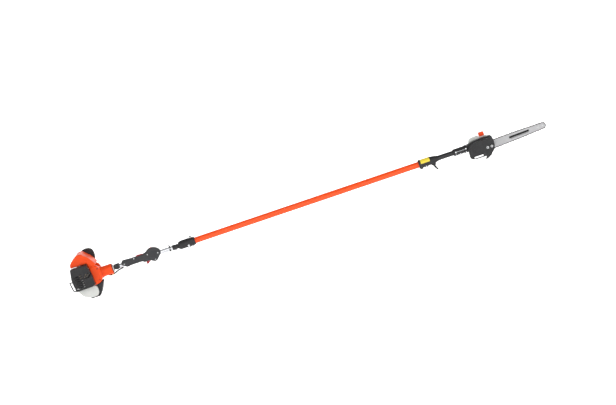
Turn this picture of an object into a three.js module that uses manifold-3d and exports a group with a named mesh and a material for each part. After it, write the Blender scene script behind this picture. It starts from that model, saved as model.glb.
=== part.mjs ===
// Telescoping petrol pole saw, retracted and lying level.
// Millimetres. +X runs along the pole to the bar, +Z is up, the muffler and the bar nuts face -Y.
// Everything is laid out from the pole: x = 0 at the front face of the engine's neck and z = 0 on the
// pole's axis. The last group then moves it all so that the origin is on the stand's flat foot.
import * as THREE from 'three';
import { mergeVertices } from 'three/addons/utils/BufferGeometryUtils.js';
import Module from 'manifold-3d';

const wasm = await Module();
wasm.setup();

// ---- driving dimensions ----
const GAP = 0.3; // between pieces that touch
const RUN = 0.4; // round a piece that turns or slides
const ROUND = 20; // sides of a large round piece
const SMALL_ROUND = 10; // sides of a small round piece

const DRIVE_TUBE_R = 12;
const DRIVE_TUBE_WALL = 1.5;
const OUTER_TUBE_R = 17;
const OUTER_TUBE_WALL = 1.5;
const INNER_TUBE_R = 14;
const INNER_TUBE_WALL = 1.6;

const NECK_R = 29;
const NECK_BACK_X = -50;
const GRIP_BACK_X = 53;
const DRIVE_TUBE_X = [-42, 430];
const OUTER_TUBE_X = [472, 1821];
const INNER_TUBE_X = [512, 2060]; // it slides forward 1170 mm
const LOWER_SHAFT_R = 4;
const UPPER_SHAFT_R = 6.5;
const UPPER_SHAFT_BORE_R = 4.9;
const LOWER_SHAFT_X = [-71, 1790];
const UPPER_SHAFT_X = [545, 2099];

const CYLINDER_X = -148; // the cylinder's upright axis
const CRANK_THROW = 14;
const PISTON_R = 16.5;
const FLYWHEEL_R = 42;
const DRUM_R = 31;
const FOOT_X = -124; // centre of the stand's flat foot, the part's origin
const FOOT_Z = -116.5;

const GEAR_X = 2125; // cross shafts of the head
const BEVEL_MODULE = 1.8;
const PINION_TEETH = 14;
const BEVEL_TEETH = 18;
const SPUR_MODULE = 1.5;
const SPUR_TEETH = 16;
const SPROCKET_Z = -SPUR_MODULE * SPUR_TEETH; // the two spur gears' centre distance
const SPROCKET_TEETH = 6;
const NOSE_TEETH = 9;
const CHAIN_PITCH = 9.32;
const BAR_TILT = THREE.MathUtils.degToRad(1.9);
const BAR_Y = -21.3; // middle of the bar's thickness
const BAR_THICKNESS = 4;
const CHAIN_WIDTH = 6.4;
const CHAIN_HEIGHT = 6;
const BAR_ROOT_R = 21.4;
const BAR_BELLY_R = 19.6;
const BAR_NOSE_R = 14.6;
const BAR_TIP_X = 2533; // outside of the chain at the nose
const NUT_X = [2183, 2207];
const NUT_Z = -26.5;

// ---- finishes ----
function finish(color, roughness, metalness) {
  return new THREE.MeshStandardMaterial({ color, roughness, metalness });
}
const ORANGE = finish(0xe4481a, 0.35, 0);
const ORANGE_TUBE = finish(0xe5481c, 0.3, 0.2);
const BLACK = finish(0x242424, 0.55, 0);
const GREY_GRIP = finish(0x4a4a4a, 0.75, 0);
const RED = finish(0xa02232, 0.45, 0);
const MILKY = finish(0xeeeee6, 0.4, 0);
const ALLOY = finish(0xc9cacc, 0.35, 0.9);
const CAST = finish(0x8f9194, 0.55, 0.8);
const STEEL = finish(0xb4b6b8, 0.3, 1);
const DARK_STEEL = finish(0x4c4d4f, 0.4, 0.9);
const FOAM = finish(0x303030, 0.95, 0);
const BRONZE = finish(0xa9853f, 0.45, 0.8);

// ---- solids ----
const X_AXIS = new THREE.Vector3(1, 0, 0);
const Y_AXIS = new THREE.Vector3(0, 1, 0);
const Z_AXIS = new THREE.Vector3(0, 0, 1);

function bare(geometry) {
  const copy = geometry.clone();
  copy.deleteAttribute('normal');
  copy.deleteAttribute('uv');
  return mergeVertices(copy, 1e-4);
}

function signedVolume(geometry) {
  const at = geometry.getAttribute('position');
  const corner = [new THREE.Vector3(), new THREE.Vector3(), new THREE.Vector3()];
  let volume = 0;
  for (let i = 0; i < geometry.index.count; i += 3) {
    corner.forEach((point, n) => point.fromBufferAttribute(at, geometry.index.getX(i + n)));
    volume += corner[0].dot(corner[1].clone().cross(corner[2])) / 6;
  }
  return volume;
}

// a closed geometry as a manifold solid, with its faces turned outwards
function solid(geometry) {
  const merged = bare(geometry);
  const triangles = Uint32Array.from(merged.index.array);
  if (signedVolume(merged) < 0) {
    for (let i = 0; i < triangles.length; i += 3) {
      [triangles[i], triangles[i + 1]] = [triangles[i + 1], triangles[i]];
    }
  }
  return new wasm.Manifold(
    new wasm.Mesh({
      numProp: 3,
      vertProperties: Float32Array.from(merged.getAttribute('position').array),
      triVerts: triangles,
    }),
  );
}

function geometryOf(manifold) {
  const mesh = manifold.getMesh();
  const geometry = new THREE.BufferGeometry();
  geometry.setAttribute('position', new THREE.BufferAttribute(mesh.vertProperties, 3));
  geometry.setIndex(new THREE.BufferAttribute(mesh.triVerts, 1));
  return geometry;
}

function join(...pieces) {
  return pieces.reduce((whole, piece) => whole.add(piece));
}

function cut(body, ...tools) {
  return tools.reduce((rest, tool) => rest.subtract(tool), body);
}

function box(x0, x1, y0, y1, z0, z1) {
  const geometry = new THREE.BoxGeometry(x1 - x0, y1 - y0, z1 - z0);
  geometry.translate((x0 + x1) / 2, (y0 + y1) / 2, (z0 + z1) / 2);
  return solid(geometry);
}

// turns a shape's own axes (across, up, along) into three axes of the part
function turned(geometry, across, up, along) {
  return geometry.applyMatrix4(new THREE.Matrix4().makeBasis(across, up, along));
}

// a round bar or disc from `from` to `to` along one axis, centred at (a, b) on the other two
function roundX(r, x0, x1, y = 0, z = 0, sides = ROUND) {
  const geometry = new THREE.CylinderGeometry(r, r, x1 - x0, sides);
  turned(geometry, Y_AXIS, X_AXIS, Z_AXIS.clone().negate());
  return solid(geometry.translate((x0 + x1) / 2, y, z));
}

function roundY(r, y0, y1, x, z, sides = SMALL_ROUND) {
  const geometry = new THREE.CylinderGeometry(r, r, y1 - y0, sides);
  return solid(geometry.translate(x, (y0 + y1) / 2, z));
}

function roundZ(r, z0, z1, x, y, sides = ROUND) {
  const geometry = new THREE.CylinderGeometry(r, r, z1 - z0, sides);
  geometry.rotateX(Math.PI / 2);
  return solid(geometry.translate(x, y, (z0 + z1) / 2));
}

// a profile of [x, radius] points turned round the pole's axis; one that leaves the axis is closed
function turnedX(profile, sides = ROUND) {
  const points = profile.map(([x, r]) => new THREE.Vector2(r, x));
  const open = profile[0][1] > 0;
  if (open) points.push(points[0].clone());
  const geometry = new THREE.LatheGeometry(points, sides);
  return solid(turned(geometry, Y_AXIS, X_AXIS, Z_AXIS.clone().negate()));
}

function tubeX(outer, inner, x0, x1, sides = ROUND) {
  return turnedX([[x0, outer], [x1, outer], [x1, inner], [x0, inner]], sides);
}

// an outline with its corners rounded by `radius`; a corner may give its own radius as a third value
function outline(corners, radius = 0) {
  return { corners, radius };
}

// the outline as a shape, its corners never tighter than a bevel of that size can follow
function drawn({ corners, radius }, bevel = 0) {
  const shape = new THREE.Shape();
  const flat = corners.map(([x, y]) => new THREE.Vector2(x, y));
  corners.forEach((corner, i) => {
    const here = flat[i];
    const before = flat.at(i - 1).clone();
    const after = flat[(i + 1) % flat.length].clone();
    const wanted = Math.max(corner[2] ?? radius, 1.7 * bevel);
    const reach = Math.min(wanted, here.distanceTo(before) / 2.1, here.distanceTo(after) / 2.1);
    const start = here.clone().add(before.sub(here).setLength(reach));
    const end = here.clone().add(after.sub(here).setLength(reach));
    if (i === 0) shape.moveTo(start.x, start.y);
    else shape.lineTo(start.x, start.y);
    if (reach > 0) shape.quadraticCurveTo(here.x, here.y, end.x, end.y);
  });
  shape.closePath();
  return shape;
}

function extruded(shape, depth, bevel = 0, curveSegments = 2) {
  const geometry = new THREE.ExtrudeGeometry(drawn(shape, bevel), {
    depth: depth - 2 * bevel,
    bevelEnabled: bevel > 0,
    bevelThickness: bevel,
    bevelSize: bevel,
    bevelOffset: -bevel,
    bevelSegments: 1,
    curveSegments,
  });
  return geometry.translate(0, 0, bevel);
}

// a plate with its edges bevelled as far as its tightest corner allows
function plate(shape, depth, bevel, place) {
  for (let size = bevel; size > 0.5; size *= 0.7) {
    try {
      return solid(place(extruded(shape, depth, size)));
    } catch {
      continue; // the bevel crosses itself at a corner
    }
  }
  return solid(place(extruded(shape, depth)));
}

// an outline drawn in (x, z) and given thickness from y0 to y1
function plateY(shape, y0, y1, bevel = 0) {
  return plate(shape, y1 - y0, bevel, (raw) => raw.rotateX(Math.PI / 2).translate(0, y1, 0));
}

// an outline drawn in (y, z) and given thickness from x0 to x1
function plateX(shape, x0, x1, bevel = 0) {
  return plate(shape, x1 - x0, bevel, (raw) => turned(raw, Y_AXIS, Z_AXIS, X_AXIS).translate(x0, 0, 0));
}

// an outline drawn in (x, y) and given thickness from z0 to z1
function plateZ(shape, z0, z1, bevel = 0) {
  return plate(shape, z1 - z0, bevel, (raw) => raw.translate(0, 0, z0));
}

// a round rod or hose bent along a smooth line through the points
function rod(points, r, steps, sides = 8) {
  const line = new THREE.CatmullRomCurve3(points.map((p) => new THREE.Vector3(...p)));
  const section = new THREE.Shape().absarc(0, 0, r, 0, 2 * Math.PI);
  const settings = { steps, curveSegments: sides / 2, extrudePath: line, bevelEnabled: false };
  return solid(new THREE.ExtrudeGeometry(section, settings));
}

// the outline round a row of circles [x, z, r], as a belt would lie
function beltOutline(circles, grow) {
  const points = [];
  for (const [x, z, r] of circles) {
    for (let i = 0; i < 20; i++) {
      const turn = (i * Math.PI) / 10;
      points.push([x + (r + grow) * Math.cos(turn), z + (r + grow) * Math.sin(turn)]);
    }
  }
  points.sort((p, q) => p[0] - q[0] || p[1] - q[1]);
  const half = (list) => {
    const chain = [];
    for (const p of list) {
      while (chain.length > 1) {
        const [a, b] = chain.slice(-2);
        if ((b[0] - a[0]) * (p[1] - a[1]) - (b[1] - a[1]) * (p[0] - a[0]) > 0.01) break;
        chain.pop();
      }
      chain.push(p);
    }
    return chain.slice(0, -1);
  };
  return [...half(points), ...half([...points].reverse())];
}

// a toothed wheel's outline: straight-sided teeth, a little thinner than their gaps
function toothOutline(teeth, rootR, tipR, turn) {
  const points = [];
  for (let i = 0; i < teeth; i++) {
    for (const [part, r] of [[-0.27, rootR], [-0.11, tipR], [0.11, tipR], [0.27, rootR]]) {
      const angle = ((i + part) / teeth) * 2 * Math.PI + turn;
      points.push([r * Math.cos(angle), r * Math.sin(angle)]);
    }
  }
  return outline(points);
}

const group = new THREE.Group();
const pole = new THREE.Group(); // laid out from the pole's axis
pole.position.set(-FOOT_X, 0, -FOOT_Z);
group.add(pole);

function add(name, manifold, material, parent = pole) {
  const mesh = new THREE.Mesh(geometryOf(manifold), material);
  mesh.name = name;
  parent.add(mesh);
}

// ---- clutch housing, drive tube and lower drive ----
const HOUSING_BACK_X = -118;
const housingOutside = [
  [HOUSING_BACK_X, 51.5], [-100, 50], [-85, 45], [-72, 37.5], [-60, 31.5], [NECK_BACK_X, NECK_R],
  [-2, NECK_R], [0, NECK_R - 2],
];
const housingInside = [
  [0, DRIVE_TUBE_R + GAP], [-44, DRIVE_TUBE_R + GAP], [-44, 11], [-56, 11], [-56, 14.3], [-68, 14.3],
  [-68, 32.8], [-94, 40.5], [-97, 47], [HOUSING_BACK_X, 48.5],
];
add('clutch_housing', cut(
  turnedX([...housingOutside, ...housingInside]),
  box(HOUSING_BACK_X - 1, -96, -20, 20, 30, 60),
), ORANGE);
add('drive_tube', tubeX(DRIVE_TUBE_R, DRIVE_TUBE_R - DRIVE_TUBE_WALL, ...DRIVE_TUBE_X), ALLOY);
add('clutch_drum', turnedX([
  [-90, DRUM_R], [-71, DRUM_R], [-69.6, DRUM_R - 1.5], [-69.6, 8.1], [-54, 8.1],
  [-54, LOWER_SHAFT_R + GAP], [-72, LOWER_SHAFT_R + GAP], [-72, DRUM_R - 2], [-90, DRUM_R - 2],
]), DARK_STEEL);
add('lower_drive_shaft', roundX(LOWER_SHAFT_R, ...LOWER_SHAFT_X, 0, 0, 6), STEEL);
const shoeInside = tubeX(DRUM_R - 3.4, 11, -88, -75);
add('clutch_shoes', cut(
  join(shoeInside, tubeX(11.5, 6.2, -92, -73.5)),
  box(-89, -74, -1.2, 1.2, 11.8, DRUM_R), box(-89, -74, -1.2, 1.2, -DRUM_R, -11.8),
), CAST);

// ---- crankshaft, flywheel, piston ----
const WEB_R = 24;
const JOURNAL_R = 6;
add('crank_half_front', join(
  roundX(WEB_R, CYLINDER_X + 6, CYLINDER_X + 13),
  roundX(JOURNAL_R, CYLINDER_X + 12, -76, 0, 0, SMALL_ROUND),
), STEEL);
// the rear half ends in the cup that the starter's pawls catch
add('crank_half_rear', join(
  roundX(WEB_R, CYLINDER_X - 13, CYLINDER_X - 6),
  roundX(JOURNAL_R, -188, CYLINDER_X - 12, 0, 0, SMALL_ROUND),
  turnedX([[-200, 20], [-186, 20], [-186, 0], [-189, 0], [-189, 17.5], [-200, 17.5]]),
), STEEL);
// the rod keeps its two pins; the crank pin stops short of both webs, which turn beside it
const PISTON_PIN_Z = 66;
add('connecting_rod', join(
  roundX(8, CYLINDER_X - 4, CYLINDER_X + 4, 0, CRANK_THROW),
  roundX(4.5, CYLINDER_X - 5.6, CYLINDER_X + 5.6, 0, CRANK_THROW, SMALL_ROUND),
  box(CYLINDER_X - 2.5, CYLINDER_X + 2.5, -4, 4, CRANK_THROW, PISTON_PIN_Z),
  roundX(6, CYLINDER_X - 4, CYLINDER_X + 4, 0, PISTON_PIN_Z, SMALL_ROUND),
  roundX(4, CYLINDER_X - 15, CYLINDER_X + 15, 0, PISTON_PIN_Z, SMALL_ROUND),
), CAST);
add('piston', cut(
  roundZ(PISTON_R, 54, 80, CYLINDER_X, 0),
  roundZ(PISTON_R - 2.5, 53, 75, CYLINDER_X, 0), roundX(4.3, -180, -110, 0, PISTON_PIN_Z, SMALL_ROUND),
), ALLOY);
const fanBlades = Array.from({ length: 12 }, (_, i) => {
  const blade = new THREE.BoxGeometry(9, 2, 18);
  blade.translate(-108, 0, 31).rotateX((i * Math.PI) / 6);
  return solid(blade);
});
add('flywheel', cut(
  join(roundX(FLYWHEEL_R, -117, -112), roundX(16, -113, -98), ...fanBlades),
  roundX(JOURNAL_R + 0.2, -120, -95, 0, 0, SMALL_ROUND),
), CAST);

// ---- crankcase halves, cylinder and what is bolted to it ----
const BEARING_R = 13.5;
add('crankcase', cut(
  plateX(outline([[-38, -44, 14], [38, -44, 14], [38, 29], [-38, 29]], 3), -180, HOUSING_BACK_X - GAP),
  roundX(WEB_R + 1.5, CYLINDER_X - 14.5, CYLINDER_X + 14.5), roundX(BEARING_R, -177, -121),
  roundX(JOURNAL_R + 1, -230, -90, 0, 0, SMALL_ROUND), roundZ(PISTON_R + 0.8, 0, 40, CYLINDER_X, 0),
), CAST);
const fins = Array.from({ length: 8 }, (_, i) => {
  const fin = outline([[-181, -33], [-119, -33], [-119, 33], [-181, 33]], 8);
  return plateZ(fin, 40 + i * 7.5, 42.2 + i * 7.5);
});
add('cylinder', cut(
  join(roundZ(23, 29.3, 94, CYLINDER_X, 0), ...fins, box(-166, -130, -38, 38, 44, 70)),
  roundZ(PISTON_R + 0.5, 20, 84, CYLINDER_X, 0), roundZ(5.3, 80, 100, CYLINDER_X, 0, SMALL_ROUND),
  roundY(6.5, -40, -10, CYLINDER_X, 57), roundY(6.5, 10, 40, CYLINDER_X, 57),
), ALLOY);
add('spark_plug', join(
  roundZ(4.8, 85, 98, CYLINDER_X, 0, SMALL_ROUND), roundZ(8, 95, 101, CYLINDER_X, 0, 6),
  roundZ(5, 100, 120, CYLINDER_X, 0, SMALL_ROUND),
), STEEL);
add('ignition_coil', join(
  box(-113, -101, -14, 14, 52, 68),
  ...[-14, 8].map((y) => box(-112, -102, y, y + 6, 43.5, 53)), // the two feet of its core
), BLACK);
add('muffler', cut(
  plateX(outline([[-88, 2], [-38.4, 2], [-38.4, 70], [-88, 70]], 10), -182, -128, 3),
  roundY(6.5, -60, -30, CYLINDER_X, 57), box(-178, -132, -84, -43, 7, 65), roundX(7, -190, -170, -66, 22),
), DARK_STEEL);
const filterOutline = [
  [-166, 36, 12], [-98, 36, 16], [-76, 92, 30], [-82, 134, 26], [-118, 146, 24], [-160, 132, 26],
];
// the carburettor carries the purge pump below it, the air filter's mounting plate outside it and
// the choke lever's boss behind it
const PURGE = { x: -148, z: 18 };
const CHOKE = { x: -172, y: 76, z: 60 };
add('carburetor', cut(
  join(
    plateX(outline([[38.4, 38], [69, 38], [69, 74], [38.4, 74]], 4), -164, -132),
    box(-158, -138, 46, 62, 26, 39), plateY(outline(filterOutline, 14), 68.4, 72),
    box(-160, -136, 42, 62, 8, 27.6), roundY(11, 60, 68, PURGE.x, PURGE.z, ROUND),
    box(-179, -160, 60, 71.9, 53, 67), box(-179, -167.5, 60, CHOKE.y - GAP, 53, 67),
  ),
  roundY(2.8, 67, 80, CHOKE.x, CHOKE.z),
  roundY(7, 30, 80, CYLINDER_X, 57), roundY(8.4, 50, 70, PURGE.x, PURGE.z, ROUND),
), CAST);
add('air_filter', plateY(outline([[-152, 84], [-96, 84], [-96, 124], [-152, 124]], 10), 73, 88), FOAM);
add('air_filter_cover', cut(
  plateY(outline(filterOutline, 14), 72.4, 104, 8),
  plateY(
    outline([[-160, 42], [-102, 42], [-84, 92], [-90, 130], [-118, 138], [-154, 127]], 12), 60, 100, 3,
  ),
), BLACK);

// ---- engine covers ----
const coverTop = [
  [-214, 80, 4], [-212, 98, 10], [-197, 116, 12], [-178, 124, 10], [-166, 138, 8], [-150, 141, 10],
  [-133, 138, 12], [-121, 124, 12], [-105, 111, 14], [-89, 89, 12], [-72, 60, 4],
];
const coverOutline = outline([...coverTop, [-88, 53, 4], [-120, 53, 2], [-120, 80, 2]]);
const coverRoom = outline([
  [-208, 70], [-206, 96, 8], [-195, 110, 10], [-176, 118, 10], [-164, 132, 8], [-136, 132, 10],
  [-125, 120, 12], [-109, 106, 12], [-94, 86, 10], [-84, 66, 4], [-92, 40], [-126, 40], [-126, 70],
]);
const sideOutline = outline([
  [-117.5, 54, 1], [-76, 54, 2], [-64, 34, 10], [-62, -24, 10], [-72, -38, 8], [-90, -47, 10],
  [-117.5, -50, 4],
]);
const fanRoom = roundX(housingOutside[0][1] + 1, -130, -40);
const coverShell = cut(plateY(coverOutline, -66, 66, 6), plateY(coverRoom, -61, 61, 4));
add('engine_cover', cut(
  join(coverShell, plateY(sideOutline, -66, -30, 5), plateY(sideOutline, 30, 66, 5)), fanRoom,
), ORANGE);
const mufflerCorners = [
  [-225, 18, 12], [-214, 79.5, 6], [-122, 79.5, 8], [-108.5, 20, 20], [-107, -34, 8], [-114, -46, 8],
  [-219, -49.5, 8],
];
const mufflerInside = [
  [-220, 18, 10], [-210, 75, 5], [-126, 75, 6], [-113, 20, 16], [-112, -32, 6], [-118, -42, 6],
  [-215, -45, 6],
];
const louvres = Array.from({ length: 6 }, (_, i) => box(-208, -162, -120, -95, -36 + i * 13, -31 + i * 13));
const slants = Array.from({ length: 3 }, (_, i) => {
  const slot = new THREE.BoxGeometry(5, 25, 34);
  slot.rotateY(0.7).translate(-148 + i * 14, -108, 20);
  return solid(slot);
});
add('muffler_cover', cut(
  plateY(outline(mufflerCorners), -108, -67, 8), plateY(outline(mufflerInside), -103.5, -60, 5),
  ...louvres, ...slants,
), BLACK);
const BAIL_Y = -72;
add('rear_guard_bail', rod([
  [-228.5, BAIL_Y, 4], [-238, BAIL_Y, 7], [-242, BAIL_Y, 2], [-237, BAIL_Y, -30], [-233, BAIL_Y, -43],
  [-226, BAIL_Y, -47], [-221.6, BAIL_Y, -46.5],
], 2.4, 16), BLACK);

// ---- recoil starter ----
const STARTER_R = 51;
const STARTER_AXLE_R = 5;
add('starter_housing', cut(
  join(roundX(STARTER_AXLE_R, -219, -202, 0, 0, SMALL_ROUND), turnedX([
    [-222, 0], [-222, 43], [-216, STARTER_R], [-184, STARTER_R], [-184, STARTER_R - 3], [-214, STARTER_R - 3],
    [-218, 42], [-218, 0],
  ])),
  ...Array.from({ length: 8 }, (_, i) => {
    const slot = new THREE.BoxGeometry(12, 5, 18);
    slot.translate(-220, 0, 28).rotateX((i * Math.PI) / 4);
    return solid(slot);
  }),
  roundY(4, 40, 70, -204, 26),
), BLACK);
add('starter_pulley', cut(
  turnedX([
    [-214, 40], [-211, 40], [-209, 34], [-207, 40], [-202, 40], [-202, STARTER_AXLE_R + 0.6],
    [-214, STARTER_AXLE_R + 0.6],
  ]),
  roundX(26, -215, -209.5),
), BLACK);
add('starter_grip', plateX(outline([[60, 6], [74, 3], [74, 49], [60, 46]], 5), -211, -197, 4), BLACK);

// ---- fuel tank and stand ----
const tankCorners = [
  [-216, -52, 6], [-214, -64, 14], [-205, -80, 12], [-188, -100, 14], [-162, -110, 10], [-133, -112.5, 12],
  [-117, -109, 12], [-106, -92, 12], [-106, -66, 10], [-116, -52, 4],
];
const tankInside = [
  [-211, -56, 4], [-209, -64, 12], [-201, -78, 10], [-185, -96, 12], [-160, -106, 8], [-133, -108.5, 10],
  [-120, -105, 10], [-110, -90, 10], [-110, -67, 8], [-118, -56, 3],
];
const FILLER = { x: -182, z: -72 };
add('fuel_tank', cut(
  join(plateY(outline(tankCorners), -56, 56, 9), roundY(15, 50, 64, FILLER.x, FILLER.z, ROUND)),
  plateY(outline(tankInside), -52, 52, 7), roundY(12, 45, 70, FILLER.x, FILLER.z, ROUND),
), MILKY);
add('fuel_cap', cut(
  roundY(19, 60, 76, FILLER.x, FILLER.z, ROUND), roundY(15.5, 55, 72, FILLER.x, FILLER.z, ROUND),
), BLACK);
add('tank_guard', cut(
  plateY(outline([
    [-68, -46, 4], [-74, -62, 6], [-88, -90, 10], [-98, -107, 8], [-110, -116.5, 3], [-162, -116.5, 3],
    [-162, -112.9, 1], [-134, -113.2, 4], [-116, -110, 8], [-105, -93, 8], [-105, -53], [-100, -51],
  ]), -52, 52, 1),
  plateY(outline([[-80, -40], [-86, -62, 4], [-97, -84, 4], [-97, -40]]), -46, 46),
  roundX(52.3, -130, -60),
), BLACK);

// ---- controls on the engine's left side ----
add('choke_lever', join(
  roundY(6, CHOKE.y, CHOKE.y + 3.4, CHOKE.x, CHOKE.z),
  box(CHOKE.x - 22, CHOKE.x, CHOKE.y, CHOKE.y + 3.4, CHOKE.z - 4, CHOKE.z + 4),
  roundY(2.4, 68, CHOKE.y + 1, CHOKE.x, CHOKE.z),
  box(CHOKE.x - 24, CHOKE.x - 19, CHOKE.y, CHOKE.y + 14, CHOKE.z - 5, CHOKE.z + 5),
), BLACK);
add('purge_bulb', roundY(7.8, 56, 74, PURGE.x, PURGE.z, ROUND), MILKY);

// ---- cable, tube block and grip ----
add('throttle_cable', rod([
  [-131, 70, 22], [-118, 70, 10], [-98, 70, -8], [-76, 70.5, -18], [-58, 67, -26], [-34, 34, -35],
  [-14, 10, -36], [4, 0, -30], [28, 0, -19], [GRIP_BACK_X + 6, 0, -15],
], 2.6, 24, 6), BLACK);
add('tube_block', cut(
  plateY(outline([[8, -8, 3], [30, -14, 6], [42, -8, 3], [42, 17, 3], [12, 17, 4], [8, 10, 3]]), -15, 15, 2),
  roundX(DRIVE_TUBE_R + GAP, 0, 60), roundX(3.6, 0, 60, 0, -19, SMALL_ROUND), box(0, 60, -5, 5, -30, -14),
), BLACK);
const gripOutline = outline([
  [GRIP_BACK_X, 3, 3], [58, 20, 5], [66, 24, 6], [100, 21, 20], [140, 20, 10], [195, 23, 10],
  [213, 36, 8], [226, 42, 8], [246, 41, 10], [272, 29, 14], [284, 8, 10], [281, -4, 8],
  [266, -20, 8], [252, -34, 8], [240, -38, 8],
  [228, -32, 8], [216, -24, 8], [200, -22, 8], [182, -24, 6], [172, -15, 10], [100, -15, 14], [90, -18, 6],
  [80, -17, 6],
]);
const gripRoom = [
  roundX(DRIVE_TUBE_R + GAP, 40, 300),
  box(140, 190, -7, 7, 14.5, 40), box(186, 236, -8, 8, -40, -14), box(224, 246, -7.5, 7.5, 26, 50),
  roundX(3, 40, 190, 0, -15, SMALL_ROUND),
];
const TRIGGER_PIVOT = { x: 228, z: -20 };
const LOCKOUT_PIVOT = { x: 186, z: 19 };
const grip = join(
  cut(plateY(gripOutline, -19, 19, 7), ...gripRoom),
  roundY(2, -12, 12, TRIGGER_PIVOT.x, TRIGGER_PIVOT.z),
  roundY(1.8, -12, 12, LOCKOUT_PIVOT.x, LOCKOUT_PIVOT.z),
);
add('grip_right', grip.intersect(box(0, 400, -40, -GAP / 2, -80, 80)), GREY_GRIP);
add('grip_left', grip.intersect(box(0, 400, GAP / 2, 40, -80, 80)), GREY_GRIP);
// its back slopes so that the squeezed trigger stays below the tube
add('throttle_trigger', cut(
  plateY(outline([
    [190, -23.5, 2], [189, -41, 5], [197, -40, 6], [213, -27, 8], [232, -24, 4], [232, -16, 3],
    [222, -15.8, 2],
  ]), -6, 6, 1.5),
  roundY(2.6, -10, 10, TRIGGER_PIVOT.x, TRIGGER_PIVOT.z),
), RED);
add('throttle_lockout', cut(
  plateY(outline([
    [142, 17, 2], [143, 24, 4], [150, 27, 6], [180, 25.5, 6], [188.5, 22, 3], [188.5, 16.5, 3],
  ]), -5.8, 5.8, 1.5),
  roundY(2.4, -10, 10, LOCKOUT_PIVOT.x, LOCKOUT_PIVOT.z),
), RED);
add('stop_switch', join(box(227, 239, -6.5, 6.5, 30, 43.5), box(236, 239, -5, 5, 43, 46)), RED);
const EYE_HOLE = { r: 3.4, z: 20 };
add('harness_eye', cut(
  join(
    roundX(DRIVE_TUBE_R + 4, 332, 341),
    plateX(outline([[-9, 10], [9, 10], [9, 26], [-9, 26]], 6), 334, 339),
  ),
  roundX(DRIVE_TUBE_R + GAP, 320, 350), roundX(EYE_HOLE.r, 330, 345, 0, EYE_HOLE.z, SMALL_ROUND),
), DARK_STEEL);

// ---- rear coupling, outer tube and front collar ----
const BOLT_R = 3.2;
const BOLT_HEAD_R = 5.3;
const COUPLING_BOLT = { x: 442, z: -20.5 };
const coupling = cut(
  join(
    turnedX([
      [350, 0], [350, 12], [353, 15], [366, 15], [370, 13.6], [384, 13.6], [390, 21], [398, 23.5],
      [476, 23.5], [483, 21], [483, 0],
    ]),
    plateY(outline([[354, 0], [352, -9, 3], [362, -20, 4], [369, -20, 4], [371, -8, 3]]), -7, 7, 2),
    plateY(outline([[455, 0], [452, -24, 4], [459, -28, 4], [468, -28, 4], [472, -20, 4]]), -9, 9, 2),
    plateY(outline([[396, 10], [400, 24.5, 5], [452, 24.5, 5], [455, 10]]), -12, 12, 3),
    plateY(outline([[430, -10], [432, -26, 5], [450, -26, 5], [456, -10]]), -14, 14, 2),
  ),
  roundX(DRIVE_TUBE_R + GAP, 340, 440), roundX(OUTER_TUBE_R + GAP, OUTER_TUBE_X[0] - GAP, 490),
  roundX(INNER_TUBE_R + 0.2, 429, 480), roundY(BOLT_R, -30, 30, COUPLING_BOLT.x, COUPLING_BOLT.z),
  roundY(BOLT_HEAD_R, -30, -9, COUPLING_BOLT.x, COUPLING_BOLT.z),
  roundY(BOLT_HEAD_R, 9, 30, COUPLING_BOLT.x, COUPLING_BOLT.z),
);
add('coupling_right', coupling.intersect(box(300, 500, -40, -GAP / 2, -40, 40)), BLACK);
add('coupling_left', coupling.intersect(box(300, 500, GAP / 2, 40, -40, 40)), BLACK);
add('outer_tube', tubeX(OUTER_TUBE_R, OUTER_TUBE_R - OUTER_TUBE_WALL, ...OUTER_TUBE_X), ORANGE_TUBE);
const COLLAR_BOLT = { x: 1831, z: -22 };
const LEVER_PIVOT = { x: 1874, z: -25 };
add('front_collar', join(roundY(2, -10, 10, LEVER_PIVOT.x, LEVER_PIVOT.z), cut(
  join(
    turnedX([
      [1793, 0], [1793, 24], [1795, 25.5], [1803, 25.5], [1805, 23.5], [1862, 23.5], [1880, 21],
      [1900, 17], [1906, 15.5], [1906, 0],
    ]),
    plateY(outline([[1796, -10], [1794, -26, 4], [1802, -29, 3], [1812, -29, 3], [1816, -10]]), -9, 9, 2),
    plateY(outline([[1820, -10], [1822, -27, 5], [1840, -27, 5], [1846, -10]]), -13, 13, 2),
    plateY(outline([[1860, -12], [1864, -31, 6], [1884, -31, 6], [1890, -10]]), -13, 13, 2),
  ),
  roundX(INNER_TUBE_R + RUN, 1700, 1950), roundX(OUTER_TUBE_R + GAP, 1700, OUTER_TUBE_X[1] + GAP),
  roundY(BOLT_R, -30, 30, COLLAR_BOLT.x, COLLAR_BOLT.z),
  roundY(BOLT_HEAD_R, -30, -8, COLLAR_BOLT.x, COLLAR_BOLT.z),
  box(1840, 1895, -7, 7, -50, -19.2),
)), BLACK);
add('lock_lever', cut(join(
  roundY(5.4, -6.4, 6.4, LEVER_PIVOT.x, LEVER_PIVOT.z),
  plateY(outline([
    [1870, -26], [1878, -25, 3], [1885, -40, 12], [1893, -58, 4], [1887, -62, 4], [1876, -48, 10],
    [1870, -34, 6],
  ]), -6, 6, 1.5),
), roundY(2.4, -30, 30, LEVER_PIVOT.x, LEVER_PIVOT.z)), BLACK);

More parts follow.
